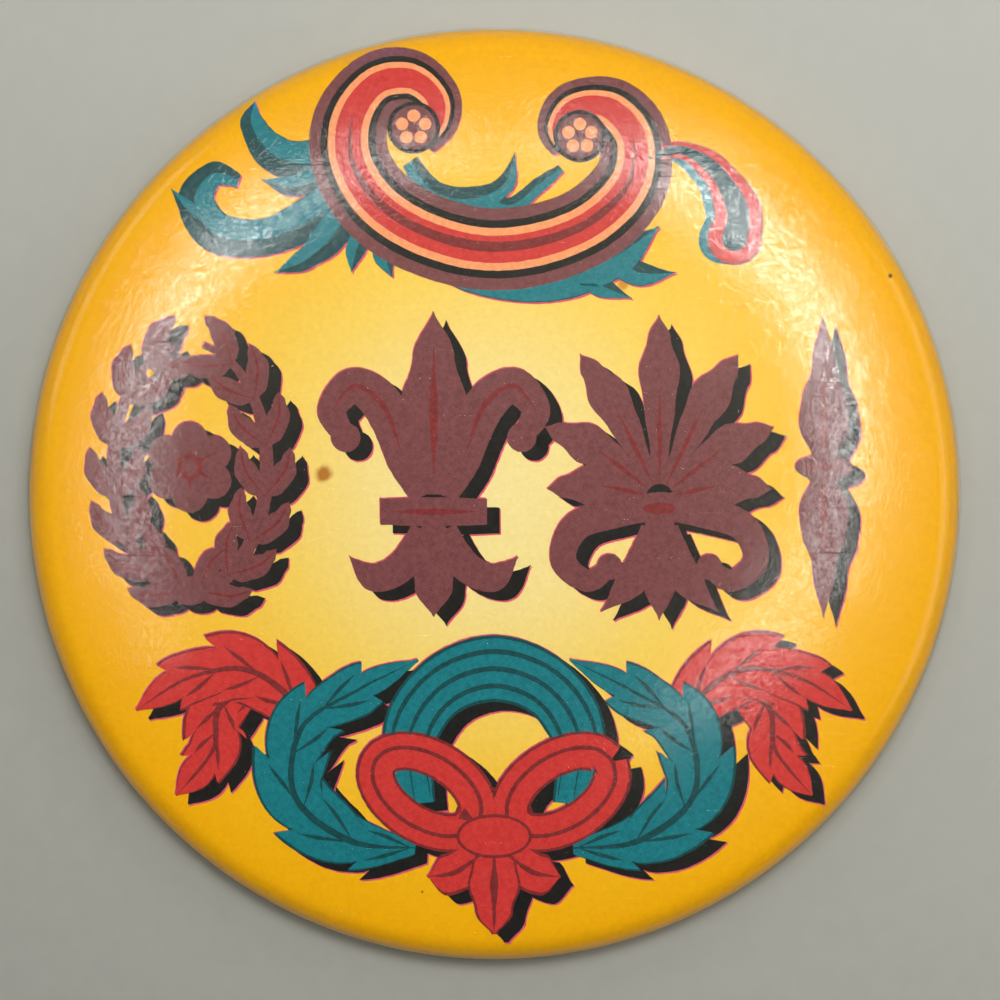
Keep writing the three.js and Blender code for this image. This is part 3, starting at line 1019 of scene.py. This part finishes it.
# The pressed back: a flat field let in behind the rim, a raised bead round it, and a
# flange that snaps in under the rim. Its straps are strips of it, raised over the pin.
plateForm = {
    "thickness": 0.25,
    "recess": 2.5,
    "bend": 0.5,
    "beadRadius": 0.65,
    "beadCentre": 23.35,
    "beadHeight": 0.95,
    "flangeBend": 0.25,
    "flangeDepth": 1.6,
    "flangeRadius": 26.5,
    "strapPlaces": (-8.0, 8.0),
    "strapWidth": 3.0,
    "strapGap": 0.12,         # over the wire
    "slot": (1.2, 1.04),      # how deep the cutter is, and how wide a slot it leaves
    "creaseDegrees": 40,      # edges sharper than this are shaded sharp
}
pinForm = {
    "wireRadius": 0.4,
    "coilRadius": 1.1,
    "coilPitch": 0.88,
    "coilTurns": 1.5,
    "coilX": -15.5,
    "lean": math.radians(35),
    "height": 3.0,
    "legGap": 0.08,
    "hookX": 14.0,
    "hookReach": 0.92,
    "hookEnd": math.radians(-38),
    "armDrop": 0.54,
    "taperX": 11.4,
    "tipX": 16.2,
}
legY = pinForm["wireRadius"] + pinForm["legGap"] - plateForm["recess"]


def plateLine(side):
    form = plateForm
    fieldY = -form["recess"] - form["thickness"] / 2
    wall = form["beadCentre"] - form["beadRadius"]
    outerWall = form["beadCentre"] + form["beadRadius"]
    bendCentre = wall - form["bend"]
    flangeCentre = outerWall + form["flangeBend"]
    line = [(bendCentre * k / 12, fieldY + side) for k in range(12)]
    line += arcPoints((bendCentre, fieldY + form["bend"]), form["bend"] - side, -90, 0, 8)
    line += arcPoints((form["beadCentre"], -form["beadHeight"]), form["beadRadius"] + side, 180, 0, 20)
    line += arcPoints((flangeCentre, form["flangeBend"] - form["flangeDepth"]),
                      form["flangeBend"] - side, 180, 270, 6)
    line.append((form["flangeRadius"], side - form["flangeDepth"]))
    return line


def cutSlots(piece):
    # the slots that the straps were raised from
    bm = bmesh.new()
    for x in plateForm["strapPlaces"]:
        made = bmesh.ops.create_cube(bm, size=1.0)
        deep, wide = plateForm["slot"]
        size = (plateForm["strapWidth"] * mm, deep * mm, wide * mm)
        bmesh.ops.scale(bm, verts=made["verts"], vec=size)
        middle = (x * mm, -plateForm["recess"] * mm, pinForm["height"] * mm)
        bmesh.ops.translate(bm, verts=made["verts"], vec=middle)
    cutter = meshObject("cutter", bm, tinBack)
    cut = piece.modifiers.new("slots", "BOOLEAN")
    cut.object = cutter
    cut.solver = "EXACT"
    solid = bpy.data.meshes.new_from_object(piece.evaluated_get(bpy.context.evaluated_depsgraph_get()))
    solid.set_sharp_from_angle(angle=math.radians(plateForm["creaseDegrees"]))
    piece.modifiers.clear()
    piece.data = solid
    bpy.data.objects.remove(cutter)


def strapMesh(bm, x):
    # a strip bent up over the leg, with its feet in the plate
    inner = pinForm["wireRadius"] + plateForm["strapGap"]
    middle = inner + plateForm["thickness"] / 2
    foot = -plateForm["recess"] - plateForm["thickness"] * 0.45
    line = [(-middle, foot)] + [(-p[0], p[1]) for p in arcPoints((0, legY), middle, 0, 180, 16)]
    line.append((middle, foot))
    half = plateForm["strapWidth"] / 2
    corners = [bm.verts.new(((x - half) * mm, y * mm, (z + pinForm["height"]) * mm)) for z, y in line]
    edges = [bm.edges.new(pair) for pair in zip(corners, corners[1:])]
    made = bmesh.ops.extrude_edge_only(bm, edges=edges)
    moved = [v for v in made["geom"] if isinstance(v, bmesh.types.BMVert)]
    bmesh.ops.translate(bm, verts=moved, vec=(2 * half * mm, 0, 0))


def makePlate():
    outline = plateLine(-plateForm["thickness"] / 2) + plateLine(plateForm["thickness"] / 2)[::-1]
    plate = revolve("backPlate", outline, tinBack)
    cutSlots(plate)
    straps = bmesh.new()
    for x in plateForm["strapPlaces"]:
        strapMesh(straps, x)
    bmesh.ops.recalc_face_normals(straps, faces=straps.faces[:])
    strapPiece = meshObject("straps", straps, tinBack)
    wall = strapPiece.modifiers.new("sheet", "SOLIDIFY")
    wall.thickness = plateForm["thickness"] * mm
    wall.offset = 0
    edge = strapPiece.modifiers.new("edge", "BEVEL")
    edge.width = 0.06 * mm
    edge.segments = 2
    for piece in (plate, strapPiece):
        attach(piece, "badge")
    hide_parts("back_plate")


makePlate()
print("back plate pressed")

across = Vector((1, 0, 0))
outward = Vector((0, math.cos(pinForm["lean"]), math.sin(pinForm["lean"])))
hinge = Vector((0, -math.sin(pinForm["lean"]), math.cos(pinForm["lean"])))
legStart = Vector((pinForm["coilX"], legY, pinForm["height"]))
coilCentre = legStart + outward * pinForm["coilRadius"]


def coilPoint(turn):
    angle = -math.pi / 2 - turn * 2 * math.pi
    ring = across * math.cos(angle) + outward * math.sin(angle)
    return coilCentre + ring * pinForm["coilRadius"] - hinge * pinForm["coilPitch"] * turn


def coilLine(fromTurn, toTurn, steps):
    return [coilPoint(fromTurn + (toTurn - fromTurn) * i / steps) for i in range(steps + 1)]


def armPoint(x):
    share = (x - pinForm["coilX"]) / (pinForm["hookX"] - pinForm["coilX"])
    point = coilPoint(pinForm["coilTurns"]) - outward * pinForm["armDrop"] * share
    point.x = x
    return point


def bezierLine(a, b, c, d, steps):
    shares = [i / steps for i in range(1, steps)]
    return [a * (1 - t) ** 3 + b * 3 * t * (1 - t) ** 2 + c * 3 * t * t * (1 - t) + d * t ** 3
            for t in shares]


def wirePiece(name, line, thickness, body, node):
    # thickness is each point's share of the wire's full thickness
    curve = bpy.data.curves.new(name, "CURVE")
    curve.dimensions = "3D"
    curve.bevel_depth = pinForm["wireRadius"] * mm
    curve.bevel_resolution = 8
    curve.use_fill_caps = True
    spline = curve.splines.new("POLY")
    spline.points.add(len(line) - 1)
    for corner, p, share in zip(spline.points, line, thickness):
        corner.co = (p.x * mm, p.y * mm, p.z * mm, 1)
        corner.radius = share
    shape = bpy.data.objects.new(name, curve)
    mesh = bpy.data.meshes.new_from_object(shape)
    bpy.data.objects.remove(shape)
    bm = bmesh.new()
    bm.from_mesh(mesh)
    bmesh.ops.remove_doubles(bm, verts=bm.verts[:], dist=1e-7)
    bmesh.ops.recalc_face_normals(bm, faces=bm.faces[:])
    piece = meshObject(name, bm, nickelWire)
    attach(piece, body)
    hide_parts(node)


def makePin():
    form = pinForm
    held = armPoint(form["hookX"])
    hook = [held + Vector((0, y, z)) for y, z in
            arcPoints((0, 0), form["hookReach"], math.degrees(form["hookEnd"]), -90, 14)]
    bendX = form["hookX"] - 2
    under = hook[-1]
    bend = bezierLine(under, Vector((under.x, legY + 0.3, under.z)),
                      Vector((form["hookX"] - 0.4, legY, form["height"])),
                      Vector((bendX, legY, form["height"])), 20)
    leg = [Vector((bendX + (form["coilX"] - bendX) * i / 30, legY, form["height"])) for i in range(30)]
    line = hook + bend + leg + coilLine(0, 1.16, 44)
    ends = [0.55, 0.85, 1.0]
    thickness = ends + [1.0] * (len(line) - 5) + [0.99, 0.97]
    wirePiece("pinWire", line, thickness, "badge", "pin_wire")

    arm = coilLine(0.98, form["coilTurns"], 22)
    steps = 60
    arm += [armPoint(form["coilX"] + (form["tipX"] - form["coilX"]) * i / steps)
            for i in range(1, steps + 1)]
    thickness = []
    for i, p in enumerate(arm):
        left = (form["tipX"] - p.x) / (form["tipX"] - form["taperX"])
        point = max(0.06, min(1.0, max(0.0, left)) ** 0.8)
        thickness.append(min(point, 0.96 + 0.04 * min(1, i / 10)))
    wirePiece("pinArm", arm, thickness, "pin", "pin_arm")


makePin()
print("pin bent")
